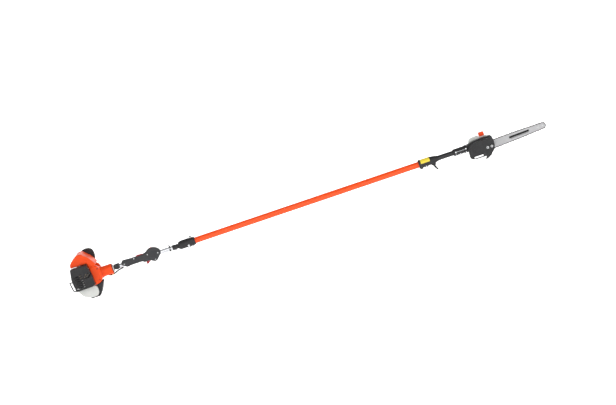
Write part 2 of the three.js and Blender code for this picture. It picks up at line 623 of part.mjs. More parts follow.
// ---- sliding inner pole ----
add('inner_tube', tubeX(INNER_TUBE_R, INNER_TUBE_R - INNER_TUBE_WALL, ...INNER_TUBE_X), BLACK);
add('slide_bush', tubeX(OUTER_TUBE_R - OUTER_TUBE_WALL - 0.2, INNER_TUBE_R + 0.2, 516, 556), BRONZE);
add('upper_drive_shaft', tubeX(UPPER_SHAFT_R, UPPER_SHAFT_BORE_R, ...UPPER_SHAFT_X, SMALL_ROUND), STEEL);
const CLAMP_BOLT_X = [2010, 2069];
const CLAMP_BOLT_Z = -18.8;
const BOSS_LENGTH = 17;
add('head_clamp', cut(
  join(
    turnedX([
      [1995, 0], [1995, 17], [1998, 19.5], [2060, 19.5], [2074, 20.5], [2076, 19], [2076, 0],
    ]),
    ...[1999, 2026, 2058].map((x) => plateY(outline([
      [x, -8], [x, -21.5, 3], [x + BOSS_LENGTH, -21.5, 3], [x + BOSS_LENGTH, -8],
    ]), -12, 12, 2)),
    plateY(outline([[2056, 8], [2060, 21.5, 4], [2075, 21.5, 4], [2076, 8]]), -9, 9, 2),
  ),
  roundX(INNER_TUBE_R + GAP, 1990, INNER_TUBE_X[1] + GAP), roundX(10, 2050, 2090),
  box(1990, 2090, -0.8, 0.8, -30, -8),
  ...CLAMP_BOLT_X.map((x) => roundY(2.4, -20, 20, x, CLAMP_BOLT_Z)),
), BLACK);

// ---- gear case and its gears ----
const CASE_Y = [-15, 25];
add('gear_case', join(...NUT_X.map((x) => roundY(2.9, -45.5, -8, x, NUT_Z)), cut(
  plateY(outline([
    [2076.3, -19, 4], [2076.3, 19, 6], [2100, 24, 20], [2116, 27.5, 20], [2140, 30, 30], [2216, 31, 8],
    [2224, 27, 8], [2228, 14, 6], [2226, -20, 12], [2219, -42, 10], [2160, -46, 8], [2100, -46, 12],
    [2084, -38, 10],
  ]), ...CASE_Y, 5),
  roundX(10, 2070, 2090), roundX(14.3, 2086, 2100), roundX(15.5, 2099, 2117),
  roundY(20.5, -14, 30, GEAR_X, 0, ROUND), roundY(15.5, 12, 30, GEAR_X, SPROCKET_Z, ROUND),
  roundY(6, -20, 30, GEAR_X, SPROCKET_Z, ROUND),
  box(GEAR_X - 27, GEAR_X + 27, 20.7, 30, -43, 24),
)), BLACK);
add('gear_case_lid', cut(
  plateY(outline([[2098.5, -42.5], [2151.5, -42.5], [2151.5, 23.5], [2098.5, 23.5]], 4), 24.3, 27.8, 1),
  roundY(4.4, 20, 26, GEAR_X, 0), roundY(4.4, 20, 26, GEAR_X, SPROCKET_Z),
), ALLOY);

// a straight bevel wheel: a toothed disc whose big end is at z = 0 and which narrows towards its cone's tip
function bevelWheel(teeth, coneHeight, faceWidth, turn) {
  const pitchR = (BEVEL_MODULE * teeth) / 2;
  const shape = toothOutline(teeth, pitchR - 1.15 * BEVEL_MODULE, pitchR + 0.75 * BEVEL_MODULE, turn);
  const geometry = extruded(shape, faceWidth, 0);
  const at = geometry.getAttribute('position');
  for (let i = 0; i < at.count; i++) {
    const narrowing = 1 - at.getZ(i) / coneHeight;
    at.setXY(i, at.getX(i) * narrowing, at.getY(i) * narrowing);
  }
  return geometry;
}
const pinionR = (BEVEL_MODULE * PINION_TEETH) / 2;
const bevelR = (BEVEL_MODULE * BEVEL_TEETH) / 2;
const BEVEL_FACE = 4.5;
const pinionWheel = turned(bevelWheel(PINION_TEETH, bevelR, BEVEL_FACE, 0), Y_AXIS, Z_AXIS, X_AXIS);
pinionWheel.translate(GEAR_X - bevelR, 0, 0);
add('bevel_pinion', join(
  solid(pinionWheel), roundX(8.5, 2099.5, GEAR_X - bevelR + 0.2), roundX(4.4, 2080, 2100, 0, 0, SMALL_ROUND),
), STEEL);
// the bevel wheel sits on the -Y side with its teeth facing the pole's axis
const bevelDisc = bevelWheel(BEVEL_TEETH, pinionR, BEVEL_FACE, Math.PI / BEVEL_TEETH);
turned(bevelDisc, X_AXIS, Z_AXIS.clone().negate(), Y_AXIS).translate(GEAR_X, -pinionR, 0);
function spurWheel(z, turn, y0, y1) {
  const pitchR = (SPUR_MODULE * SPUR_TEETH) / 2;
  const shape = toothOutline(SPUR_TEETH, pitchR - 1.2 * SPUR_MODULE, pitchR + 0.75 * SPUR_MODULE, turn);
  return solid(extruded(shape, y1 - y0, 0).rotateX(Math.PI / 2).translate(GEAR_X, y1, z));
}
const SPUR_Y = [14.5, 20];
add('bevel_gear_shaft', join(
  solid(bevelDisc), roundY(5, -12.8, 15, GEAR_X, 0), spurWheel(0, Math.PI / 2, ...SPUR_Y),
  roundY(4, 19, 24, GEAR_X, 0),
), STEEL);
add('sprocket_shaft', join(
  roundY(5, -31, 15, GEAR_X, SPROCKET_Z),
  spurWheel(SPROCKET_Z, Math.PI / 2 + Math.PI / SPUR_TEETH, ...SPUR_Y),
  roundY(4, 19, 24, GEAR_X, SPROCKET_Z),
), STEEL);

// ---- cutting gear, tilted a little upwards about the sprocket's axis ----
const cutting = new THREE.Group();
cutting.position.set(GEAR_X, BAR_Y, SPROCKET_Z);
cutting.rotation.y = -BAR_TILT;
pole.add(cutting);
const sprocketR = CHAIN_PITCH / 2 / Math.sin(Math.PI / (2 * SPROCKET_TEETH));
const noseX = BAR_TIP_X - GEAR_X - BAR_NOSE_R - GAP - CHAIN_HEIGHT;
const barCircles = [[62, 0, BAR_ROOT_R], [230, 0, BAR_BELLY_R], [noseX, 0, BAR_NOSE_R]];
const half = BAR_THICKNESS / 2;
const sprocketOutline = toothOutline(SPROCKET_TEETH, sprocketR - 4, sprocketR - 0.6, 0);
const sprocketDisc = extruded(sprocketOutline, 7, 0);
add('drive_sprocket', cut(
  solid(sprocketDisc.rotateX(Math.PI / 2).translate(0, 3.5, 0)), roundY(5.3, -20, 20, 0, 0),
), DARK_STEEL, cutting);
add('guide_bar', join(cut(
  plateY(outline(beltOutline(barCircles, 0)), -half, half),
  box(0, 36, -5, 5, -40, 40), box(46, 96, -5, 5, -8.6, 0.6), box(noseX - 18, noseX + 40, -0.9, 0.9, -30, 30),
), roundY(2, -1.5, 1.5, noseX, 0)), ALLOY, cutting);
const noseOutline = toothOutline(NOSE_TEETH, BAR_NOSE_R - 3.5, BAR_NOSE_R - 0.4, 0);
const noseDisc = extruded(noseOutline, 1.2, 0);
add('nose_sprocket', cut(
  solid(noseDisc.rotateX(Math.PI / 2).translate(noseX, 0.6, 0)), roundY(2.4, -5, 5, noseX, 0),
), DARK_STEEL, cutting);
const chainCircles = [[0, 0, sprocketR], ...barCircles];
add('saw_chain', cut(
  plateY(outline(beltOutline(chainCircles, GAP + CHAIN_HEIGHT)), -CHAIN_WIDTH / 2, CHAIN_WIDTH / 2),
  plateY(outline(beltOutline(chainCircles, GAP)), -10, 10),
), DARK_STEEL, cutting);

// ---- sprocket cover, bar nuts and oil tank ----
const COVER_Y = [-41, -15.3];
const chainRoom = outline([
  [2082, -50, 8], [2082, -12, 12], [2092, 4, 10], [2106, 12, 12], [2134, 18, 10], [2240, 18], [2240, -51],
]);
add('sprocket_cover', cut(
  plateY(outline([
    [2078.5, -8, 10], [2087, 8, 10], [2102, 16, 12], [2128, 22, 16], [2214, 22.5, 8], [2223, 17, 8],
    [2228, 0, 12],
    [2226, -20, 10], [2220, -41, 10], [2212, -54, 8], [2199, -62, 6], [2193, -73, 5], [2182, -77, 5],
    [2172, -84, 6], [2155, -87.5, 3], [2165, -76, 5], [2163, -69.5, 5], [2112, -69.5, 10], [2092, -67.5, 8],
    [2078, -60, 8], [2075, -48, 8],
  ]), ...COVER_Y, 3),
  plateY(chainRoom, -38, -10),
  plateY(outline([[2096, -66.5], [2151, -66.5], [2151, -55.5], [2096, -55.5]], 5), -50, -10),
  ...NUT_X.map((x) => roundY(3.4, -50, -30, x, NUT_Z)),
), BLACK);
NUT_X.forEach((x, i) => {
  add(`bar_nut_${i + 1}`, cut(roundY(7.4, -47, -41.3, x, NUT_Z, 6), roundY(3.2, -60, -30, x, NUT_Z)), STEEL);
});
const TANK_Y = [28.2, 52];
const OIL_FILLER = { x: 2179, y: 40 };
add('oil_tank', cut(
  join(
    plateY(outline([
      [2096, -36, 10], [2096, 28, 12], [2106, 41, 12], [2126, 45, 12], [2157, 44.5, 6], [2163, 35, 4],
      [2204, 34, 6], [2208, 26, 6], [2208, -36, 10],
    ]), ...TANK_Y, 4),
    roundZ(11.5, 30, 46, OIL_FILLER.x, OIL_FILLER.y),
  ),
  plateY(outline([
    [2099, -33, 8], [2099, 27, 10], [2108, 38, 10], [2126, 42, 10], [2155, 41.5, 5], [2160, 32, 4],
    [2202, 31, 4], [2205, 25, 5], [2205, -33, 8],
  ]), TANK_Y[0] + 2.5, TANK_Y[1] - 2.5, 3),
  roundZ(9, 25, 60, OIL_FILLER.x, OIL_FILLER.y),
), MILKY);
add('oil_cap', cut(
  roundZ(16.2, 36.5, 58, OIL_FILLER.x, OIL_FILLER.y), roundZ(12.2, 30, 54, OIL_FILLER.x, OIL_FILLER.y),
), ORANGE);

export default group;
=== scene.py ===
import math

import bmesh
import bpy
from mathutils import Matrix, Vector


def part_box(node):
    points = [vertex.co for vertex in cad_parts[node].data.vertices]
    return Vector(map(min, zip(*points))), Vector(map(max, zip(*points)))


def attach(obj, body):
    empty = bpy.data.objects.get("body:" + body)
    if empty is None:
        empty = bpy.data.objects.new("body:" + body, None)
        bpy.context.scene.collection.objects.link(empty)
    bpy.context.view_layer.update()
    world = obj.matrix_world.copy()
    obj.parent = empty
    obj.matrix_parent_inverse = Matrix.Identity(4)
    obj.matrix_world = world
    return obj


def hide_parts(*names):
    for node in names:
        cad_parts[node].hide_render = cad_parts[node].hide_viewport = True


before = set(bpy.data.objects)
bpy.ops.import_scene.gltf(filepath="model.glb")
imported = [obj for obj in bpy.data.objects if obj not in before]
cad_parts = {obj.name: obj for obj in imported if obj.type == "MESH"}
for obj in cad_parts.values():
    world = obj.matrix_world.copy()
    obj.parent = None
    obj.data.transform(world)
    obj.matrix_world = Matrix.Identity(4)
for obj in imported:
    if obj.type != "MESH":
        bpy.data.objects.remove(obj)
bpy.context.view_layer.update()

# ---------------------------------------------------------------------------------------------
# The studio: a pale floor under the saw, a white room and three large soft lights.
# The camera looks square at the saw's right side from a little above, rolled so the pole climbs.
neck_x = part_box("clutch_housing")[1][0]
pole_z = sum(corner[2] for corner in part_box("drive_tube")) / 2


def place(x, y, z):
    """A point given in millimetres from the engine neck's front face and the pole's axis."""
    return Vector((neck_x + x / 1000, y / 1000, pole_z + z / 1000))


def select_only(*pieces):
    bpy.ops.object.select_all(action="DESELECT")
    for piece in pieces:
        piece.select_set(True)
    bpy.context.view_layer.objects.active = pieces[0]


def soft_light(name, at, size, power):
    light = bpy.data.lights.new(name, "AREA")
    light.size = size
    light.energy = power
    lamp = bpy.data.objects.new(name, light)
    lamp.location = at
    lamp.rotation_euler = (middle - Vector(at)).to_track_quat("-Z", "Y").to_euler()
    bpy.context.collection.objects.link(lamp)


bpy.ops.object.select_all(action="DESELECT")
middle = place(1144, 0, -2)
soft_light("key_light", (0.3, -3.6, 3.4), 2.6, 34)
soft_light("fill_light", (3.4, -3.0, 1.6), 2.4, 12)
soft_light("top_light", (1.3, 1.5, 3.6), 3.0, 13)

world = bpy.data.worlds.new("white_room")
bpy.context.scene.world = world
world.use_nodes = True
world.node_tree.nodes["Background"].inputs["Color"].default_value = (1, 1, 1, 1)
world.node_tree.nodes["Background"].inputs["Strength"].default_value = 0.24

bpy.context.scene.view_settings.view_transform = "Standard"

# the floor is one white sheet that is flat below the saw and sweeps up all round, far outside
FLOOR_RADIUS = 14
JUST_BELOW_THE_FOOT = -0.0005
bpy.ops.mesh.primitive_circle_add(vertices=96, radius=FLOOR_RADIUS, fill_type="NOTHING",
                                  location=(middle.x, 0, JUST_BELOW_THE_FOOT))
floor = bpy.context.active_object
bpy.ops.object.mode_set(mode="EDIT")
bpy.ops.mesh.select_all(action="SELECT")
bpy.ops.mesh.edge_face_add()
bpy.ops.mesh.select_all(action="DESELECT")
bpy.ops.mesh.select_mode(type="EDGE")
bpy.ops.mesh.select_all(action="SELECT")
bpy.ops.mesh.region_to_loop()
for rise, growth in [(0.2, 1.12), (0.8, 1.12), (2.0, 1.09), (4.0, 1.05), (6.0, 1.01)]:
    bpy.ops.mesh.extrude_edges_move(TRANSFORM_OT_translate={"value": (0, 0, rise)})
    bpy.ops.transform.resize(value=(growth, growth, 1))
bpy.ops.object.mode_set(mode="OBJECT")
bpy.ops.object.shade_smooth_by_angle(angle=math.radians(60))
floor.name = "floor"
floor_white = bpy.data.materials.new("floor_white")
floor_white.use_nodes = True
floor_shader = floor_white.node_tree.nodes["Principled BSDF"]
floor_shader.inputs["Base Color"].default_value = (0.95, 0.95, 0.95, 1)
floor_shader.inputs["Roughness"].default_value = 0.9
floor_shader.inputs["Emission Color"].default_value = (1, 1, 1, 1)
floor_shader.inputs["Emission Strength"].default_value = 0.85
floor.data.materials.append(floor_white)

ELEVATION = math.radians(8)
ROLL = math.radians(18.7)
DISTANCE = 9.5
camera_data = bpy.data.cameras.new("camera")
camera_data.lens = 100
camera = bpy.data.objects.new("camera", camera_data)
bpy.context.collection.objects.link(camera)
bpy.context.scene.camera = camera
backwards = Vector((0, -math.cos(ELEVATION), math.sin(ELEVATION)))
level_up = Vector((0, math.sin(ELEVATION), math.cos(ELEVATION)))
level_right = Vector((1, 0, 0))
right = level_right * math.cos(ROLL) - level_up * math.sin(ROLL)
up = level_right * math.sin(ROLL) + level_up * math.cos(ROLL)
turn = Matrix((right, up, backwards)).transposed().to_4x4()
camera.matrix_world = Matrix.Translation(middle + backwards * DISTANCE) @ turn

# ---------------------------------------------------------------------------------------------
# The clutch housing: orange glass-filled nylon, moulded as one bell that narrows to the neck in
# which the drive tube is clamped. A maroon rubber ring and a pale collar close the neck's mouth.


def surface(name, color, roughness, metallic=0.0, grain=900.0, bump=0.03, tint=0.06, coat=0.0,
            drawn_out=1.0, shine=0.5):
    """A moulded, cast, drawn or painted finish: mottled colour, uneven gloss and a fine grain in relief."""
    material = bpy.data.materials.new(name)
    material.use_nodes = True
    nodes = material.node_tree.nodes
    link = material.node_tree.links.new
    shader = nodes["Principled BSDF"]
    shader.inputs["Metallic"].default_value = metallic
    shader.inputs["Specular IOR Level"].default_value = shine
    shader.inputs["Coat Weight"].default_value = coat
    shader.inputs["Coat Roughness"].default_value = 0.08
    place_on_piece = nodes.new("ShaderNodeTexCoord").outputs["Object"]

    cloud = nodes.new("ShaderNodeTexNoise")
    cloud.inputs["Scale"].default_value = 28
    cloud.inputs["Detail"].default_value = 6
    link(place_on_piece, cloud.inputs["Vector"])
    shades = nodes.new("ShaderNodeValToRGB")
    shades.color_ramp.elements[0].position = 0.3
    shades.color_ramp.elements[0].color = [*(channel * (1 - tint) for channel in color), 1]
    shades.color_ramp.elements[1].position = 0.7
    shades.color_ramp.elements[1].color = [*(min(1, channel * (1 + tint)) for channel in color), 1]
    link(cloud.outputs["Fac"], shades.inputs["Fac"])
    link(shades.outputs["Color"], shader.inputs["Base Color"])

    gloss = nodes.new("ShaderNodeMapRange")
    gloss.inputs["To Min"].default_value = roughness * 0.8
    gloss.inputs["To Max"].default_value = min(1, roughness * 1.2)
    link(cloud.outputs["Fac"], gloss.inputs["Value"])
    link(gloss.outputs["Result"], shader.inputs["Roughness"])

    fine = nodes.new("ShaderNodeTexNoise")
    fine.inputs["Scale"].default_value = grain
    fine.inputs["Detail"].default_value = 3
    stretch = nodes.new("ShaderNodeMapping")
    stretch.inputs["Scale"].default_value = (1 / drawn_out, 1, 1)
    link(place_on_piece, stretch.inputs["Vector"])
    link(stretch.outputs["Vector"], fine.inputs["Vector"])
    relief = nodes.new("ShaderNodeBump")
    relief.inputs["Strength"].default_value = bump
    relief.inputs["Distance"].default_value = 0.0006
    link(fine.outputs["Fac"], relief.inputs["Height"])
    link(relief.outputs["Normal"], shader.inputs["Normal"])
    return material


def settle(piece, name, material, body, slot, *nodes):
    """Names a finished piece, puts its place in its mesh, finishes it and sets what it rides on."""
    select_only(piece)
    bpy.ops.object.transform_apply(location=True, rotation=True, scale=True)
    piece.name = name
    piece.data.materials.clear()
    piece.data.materials.append(material)
    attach(piece, body)
    if nodes:
        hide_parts(*nodes)
    return piece


def apply_modifier(piece, kind, **settings):
    modifier = piece.modifiers.new(kind.lower(), kind)
    for key, value in settings.items():
        setattr(modifier, key, value)
    select_only(piece)
    bpy.ops.object.modifier_apply(modifier=modifier.name)


def turned(stations, wall=0.0, sides=72, rounding=0.5):
    """A round piece along the pole: a ring drawn out and resized at each (x, radius) station."""
    x, radius = stations[0]
    closed = "NOTHING" if wall else "NGON"
    bpy.ops.mesh.primitive_circle_add(vertices=sides, radius=radius / 1000, fill_type=closed,
                                      location=place(x, 0, 0), rotation=(0, math.pi / 2, 0))
    piece = bpy.context.active_object
    bpy.ops.object.mode_set(mode="EDIT")
    bpy.ops.mesh.select_all(action="SELECT")
    for next_x, next_radius in stations[1:]:
        bpy.ops.mesh.extrude_region_move(TRANSFORM_OT_translate={"value": ((next_x - x) / 1000, 0, 0)})
        factor = next_radius / radius
        bpy.ops.transform.resize(value=(1, factor, factor))
        x, radius = next_x, next_radius
    bpy.ops.mesh.select_all(action="SELECT")
    bpy.ops.mesh.normals_make_consistent(inside=False)
    bpy.ops.object.mode_set(mode="OBJECT")
    if wall:
        apply_modifier(piece, "SOLIDIFY", thickness=wall / 1000, offset=-1)
    if rounding:
        apply_modifier(piece, "BEVEL", width=rounding / 1000, segments=2, angle_limit=math.radians(28))
    select_only(piece)
    bpy.ops.object.shade_smooth_by_angle(angle=math.radians(35))
    return piece


def moulded(node, grain=1.2, smoothing=4, keep=0.3):
    """A moulding with softened edges: a copy of its solid, remeshed evenly and smoothed."""
    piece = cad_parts[node].copy()
    piece.data = piece.data.copy()
    bpy.context.collection.objects.link(piece)
    select_only(piece)
    bpy.ops.object.mode_set(mode="EDIT")
    bpy.ops.mesh.select_all(action="SELECT")
    bpy.ops.mesh.remove_doubles(threshold=0.00001)
    bpy.ops.object.mode_set(mode="OBJECT")
    apply_modifier(piece, "REMESH", mode="VOXEL", voxel_size=grain / 1000, adaptivity=0)
    apply_modifier(piece, "SMOOTH", factor=0.5, iterations=smoothing)
    apply_modifier(piece, "DECIMATE", ratio=keep)
    bpy.ops.object.shade_smooth_by_angle(angle=math.radians(60))
    return piece


orange_nylon = surface("orange_nylon", (0.70, 0.058, 0.005), 0.38, grain=700, bump=0.08, shine=0.18)
black_nylon = surface("black_nylon", (0.010, 0.010, 0.011), 0.5, grain=1600, bump=0.12, tint=0.2, shine=0.35)
black_rubber = surface("black_rubber", (0.010, 0.010, 0.010), 0.7, grain=1200, bump=0.2, shine=0.3)

bell_outline = [(-118, 51.5), (-100, 50), (-92, 48), (-85, 45), (-78, 41.5), (-72, 37.5), (-66, 34),
                (-60, 31.5), (-55, 30), (-50, 29), (-8, 29), (-1, 28)]
housing = turned(bell_outline, wall=3)
settle(housing, "clutch_bell", orange_nylon, "powerhead", "orange_plastic", "clutch_housing")
neck_ring = turned([(-7.5, 25.8), (1.5, 25.8), (3.2, 22), (3.6, 12.6)], wall=3)
maroon_rubber = surface("maroon_rubber", (0.12, 0.008, 0.012), 0.6, grain=1200, bump=0.15)
settle(neck_ring, "neck_ring", maroon_rubber, "powerhead", "black_plastic")
pale_nylon = surface("pale_nylon", (0.70, 0.68, 0.64), 0.45, grain=900, bump=0.06)
neck_collar = turned([(3.9, 12.4), (3.9, 20), (6.6, 20), (7.4, 19)], wall=1.6)
settle(neck_collar, "neck_collar", pale_nylon, "powerhead", "black_plastic")

# ---------------------------------------------------------------------------------------------
# The engine cover: one orange nylon moulding over the cylinder and down both sides of the fan.
# Pan-head screws hold its front edge to the clutch housing.
cover = moulded("engine_cover", 1.5, 5, 0.35)
settle(cover, "engine_shroud", orange_nylon, "powerhead", "orange_plastic", "engine_cover")
zinc_steel = surface("zinc_steel", (0.56, 0.57, 0.58), 0.28, metallic=1.0, grain=500, bump=0.05)


def socket_screw(name, at, facing, radius, height, body="powerhead", material=None):
    """A cap screw: a bevelled round head with a six-sided socket sunk in its face."""
    turned_to = Vector(facing).to_track_quat("Z", "Y").to_euler()
    bpy.ops.mesh.primitive_cylinder_add(vertices=24, radius=radius / 1000, depth=height / 1000,
                                        location=at, rotation=turned_to)
    screw = bpy.context.active_object
    apply_modifier(screw, "BEVEL", width=radius / 7000, segments=2, angle_limit=math.radians(50))
    bpy.ops.mesh.primitive_cylinder_add(vertices=6, radius=radius * 0.52 / 1000, depth=height * 1.1 / 1000,
                                        location=at + Vector(facing).normalized() * height * 0.6 / 1000,
                                        rotation=turned_to)
    socket = bpy.context.active_object
    apply_modifier(screw, "BOOLEAN", object=socket, operation="DIFFERENCE", solver="EXACT")
    bpy.data.objects.remove(socket)
    select_only(screw)
    bpy.ops.object.shade_smooth_by_angle(angle=math.radians(35))
    return settle(screw, name, material or zinc_steel, body, "steel")


blued_steel = surface("blued_steel", (0.03, 0.03, 0.035), 0.35, metallic=0.8, grain=700, bump=0.05)
for number, (x, z) in enumerate([(-74, 34), (-78, -30), (-110, -41)]):
    for side, facing in (("right", -1), ("left", 1)):
        socket_screw(f"cover_screw_{side}_{number}", place(x, facing * 66, z), (0, facing, 0), 3.6, 3,
                     material=blued_steel)

# ---------------------------------------------------------------------------------------------
# The muffler cover: a black heat-proof nylon guard with louvred slots over the steel muffler.
# Four screws hold it, and a raised lip runs along each slot.
heat_black = surface("heat_black", (0.008, 0.008, 0.009), 0.45, grain=1300, bump=0.15, tint=0.25, shine=0.35)
guard = moulded("muffler_cover", 1.1, 3, 0.3)
settle(guard, "muffler_guard", heat_black, "powerhead", "black_plastic", "muffler_cover")


def bevelled_box(name, low, high, material, body, slot, bevel=1.0):
    """A small moulded bar or block between two corners in millimetres, its edges bevelled."""
    centre = (Vector(low) + Vector(high)) / 2
    bpy.ops.mesh.primitive_cube_add(size=1, location=place(*centre))
    piece = bpy.context.active_object
    piece.scale = (Vector(high) - Vector(low)) / 1000
    select_only(piece)
    bpy.ops.object.transform_apply(location=True, rotation=True, scale=True)
    apply_modifier(piece, "BEVEL", width=bevel / 1000, segments=3)
    bpy.ops.object.shade_smooth_by_angle(angle=math.radians(35))
    return settle(piece, name, material, body, slot)


for row in range(6):
    low_z = -36 + row * 13
    bevelled_box(f"louvre_lip_{row}", (-209, -109.6, low_z + 4.6), (-161, -106, low_z + 7.6), heat_black,
                 "powerhead", "black_plastic", 0.9)
for number, (x, z) in enumerate([(-213, -36), (-119, -34), (-207, 66), (-127, 68)]):
    socket_screw(f"guard_screw_{number}", place(x, -108, z), (0, -1, 0), 3.6, 2.4, material=blued_steel)
burnt_steel = surface("burnt_steel", (0.20, 0.17, 0.14), 0.5, metallic=1.0, grain=400, bump=0.1, tint=0.35)
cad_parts["muffler"].data.materials.clear()
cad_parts["muffler"].data.materials.append(burnt_steel)

# ---------------------------------------------------------------------------------------------
# The rear guard bail: black coated wire bent into an open loop behind the muffler cover, both of
# its ends running into the cover's rear edge.
black_coat = surface("black_coat", (0.010, 0.010, 0.011), 0.33, grain=900, bump=0.06, coat=0.3)


def bent_rod(name, points, radius, material, body, slot, *nodes):
    """A wire or hose swept along a smooth line that its points steer, closed at both ends."""
    line = bpy.data.curves.new(name, "CURVE")
    line.dimensions = "3D"
    line.bevel_depth = radius / 1000
    line.bevel_resolution = 5
    line.use_fill_caps = True
    path = line.splines.new("NURBS")
    path.points.add(len(points) - 1)
    for point, at in zip(path.points, points):
        point.co = [*place(*at), 1]
    path.order_u = 3
    path.use_endpoint_u = True
    path.resolution_u = 8
    piece = bpy.data.objects.new(name, line)
    bpy.context.collection.objects.link(piece)
    select_only(piece)
    bpy.ops.object.convert(target="MESH")
    piece = bpy.context.active_object
    bpy.ops.object.shade_smooth_by_angle(angle=math.radians(60))
    return settle(piece, name, material, body, slot, *nodes)


bail_y = -72
bail_points = [(-228.5, 4), (-236, 6.5), (-242.5, 7.5), (-241.5, 0), (-239, -20), (-236.5, -36),
               (-235, -44.5), (-228, -47.5), (-221.6, -46.5)]
bent_rod("rear_bail_wire", [(x, bail_y, z) for x, z in bail_points], 3.4, black_coat, "powerhead",
         "black_painted", "rear_guard_bail")

# ---------------------------------------------------------------------------------------------
# The recoil starter: a black nylon housing with radial vents at the engine's rear, its rope
# handle parked on the left.
starter = moulded("starter_housing", 1.2, 3, 0.3)
settle(starter, "starter_case", black_nylon, "powerhead", "black_plastic", "starter_housing")
for number in range(3):
    angle = math.radians(90 + number * 120)
    at = place(-219, 44 * math.cos(angle), 44 * math.sin(angle))
    socket_screw(f"starter_screw_{number}", at, (-1, 0, 0), 3.6, 3)
handle = moulded("starter_grip", 0.8, 5, 0.4)
settle(handle, "starter_handle_grip", black_rubber, "starter_handle", "black_plastic", "starter_grip")

# ---------------------------------------------------------------------------------------------
# The air filter cover: a domed black nylon lid on the engine's left, over the carburettor with
# its purge bulb and choke lever. The filter's base plate is black nylon as well.
lid = moulded("air_filter_cover", 1.3, 8, 0.3)
settle(lid, "filter_lid", black_nylon, "powerhead", "black_plastic", "air_filter_cover")
cast_metal = surface("cast_metal", (0.42, 0.43, 0.44), 0.5, metallic=1.0, grain=700, bump=0.25)
throttle_body = moulded("carburetor", 1.0, 2, 0.35)
settle(throttle_body, "carburettor_body", cast_metal, "powerhead", "cast_alloy", "carburetor")
throttle_body.data.materials.append(black_nylon)
FILTER_PLATE_Y = 0.0675
for face in throttle_body.data.polygons:
    face.material_index = int(face.center.y > FILTER_PLATE_Y)
choke = moulded("choke_lever", 0.6, 3, 0.4)
settle(choke, "choke_tab", black_nylon, "choke", "black_plastic", "choke_lever")
clear_rubber = surface("clear_rubber", (0.75, 0.72, 0.6), 0.25, grain=300, bump=0.02)
clear_rubber.node_tree.nodes["Principled BSDF"].inputs["Transmission Weight"].default_value = 0.6
BULB_RADIUS = 0.0077
BULB_SLACK = 0.0002
bulb_low, bulb_high = (Vector(corner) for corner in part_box("purge_bulb"))
bpy.ops.mesh.primitive_uv_sphere_add(segments=32, ring_count=16, radius=BULB_RADIUS,
                                     location=(bulb_low + bulb_high) / 2)
bulb = bpy.context.active_object
bulb.scale = (1, (bulb_high.y - bulb_low.y) / (2 * BULB_RADIUS + BULB_SLACK), 1)
bpy.ops.object.shade_smooth()
settle(bulb, "purge_dome", clear_rubber, "purge", "milky_plastic", "purge_bulb")

# ---------------------------------------------------------------------------------------------
# The fuel tank: blow-moulded milky polyethylene with a ribbed black cap on its left.
# The tank guard in front of it is a black nylon stand whose foot the engine rests on.
milky = surface("milky_polyethylene", (0.50, 0.51, 0.49), 0.35, grain=300, bump=0.04, tint=0.03)
milky_shader = milky.node_tree.nodes["Principled BSDF"]
milky_shader.inputs["Subsurface Weight"].default_value = 0.2
milky_shader.inputs["Subsurface Radius"].default_value = (0.01, 0.01, 0.009)
milky_shader.inputs["Subsurface Scale"].default_value = 1.0
tank = moulded("fuel_tank", 1.6, 6, 0.35)
settle(tank, "fuel_tank_shell", milky, "powerhead", "milky_plastic", "fuel_tank")
stand = moulded("tank_guard", 1.3, 3, 0.3)
settle(stand, "tank_stand", black_nylon, "powerhead", "black_plastic", "tank_guard")


CAP_RECESS = 0.0012


def knurled_cap(name, centre, facing, radius, height, ribs, material, body, slot, *nodes):
    """A screw cap: a drum with one side face in four drawn out as a finger rib, its top sunk a little."""
    bpy.ops.mesh.primitive_cylinder_add(vertices=ribs * 4, radius=radius * 0.94 / 1000, depth=height / 1000,
                                        location=centre)
    cap = bpy.context.active_object
    cap.rotation_euler = Vector(facing).to_track_quat("Z", "Y").to_euler()
    shape = bmesh.new()
    shape.from_mesh(cap.data)
    shape.faces.ensure_lookup_table()
    sides = [face for face in shape.faces if len(face.verts) == 4]
    for index, face in enumerate(sides):
        if index % 4 == 0:
            drawn = bmesh.ops.extrude_discrete_faces(shape, faces=[face])["faces"][0]
            bmesh.ops.translate(shape, verts=drawn.verts, vec=drawn.normal * radius * 0.055 / 1000)
    top = max(shape.faces, key=lambda face: face.calc_center_median().z)
    bmesh.ops.inset_region(shape, faces=[top], thickness=radius * 0.22 / 1000)
    bmesh.ops.translate(shape, verts=top.verts, vec=(0, 0, -CAP_RECESS))
    shape.to_mesh(cap.data)
    shape.free()
    apply_modifier(cap, "BEVEL", width=0.0006, segments=2, angle_limit=math.radians(50))
    bpy.ops.object.shade_smooth_by_angle(angle=math.radians(35))
    return settle(cap, name, material, body, slot, *nodes)


def centre_of(node):
    low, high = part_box(node)
    return (Vector(low) + Vector(high)) / 2


knurled_cap("fuel_filler_lid", centre_of("fuel_cap"), (0, 1, 0), 19, 16, 16, black_nylon, "fuel_filler_cap",
            "black_plastic", "fuel_cap")

# ---------------------------------------------------------------------------------------------
# The drive tube: bare drawn aluminium, clamped in the neck and running through the grip to the
# rear coupling. A black block and the harness eye are clamped round it.
brushed_alloy = surface("brushed_alloy", (0.52, 0.53, 0.55), 0.26, metallic=1.0, grain=900, bump=0.06,
                        tint=0.03, drawn_out=40)
tube = turned([(-42, 12), (429.5, 12)], wall=1.5, rounding=0.3)
settle(tube, "alloy_drive_tube", brushed_alloy, "powerhead", "bright_alloy", "drive_tube")
block = moulded("tube_block", 0.8, 4, 0.35)
settle(block, "cable_block", black_nylon, "powerhead", "black_plastic", "tube_block")
eye = moulded("harness_eye", 0.7, 3, 0.4)
settle(eye, "harness_eye_plate", black_coat, "powerhead", "dark_steel", "harness_eye")
socket_screw("eye_screw", place(336.5, -16, 3), (0, -1, 0), 3.4, 3)

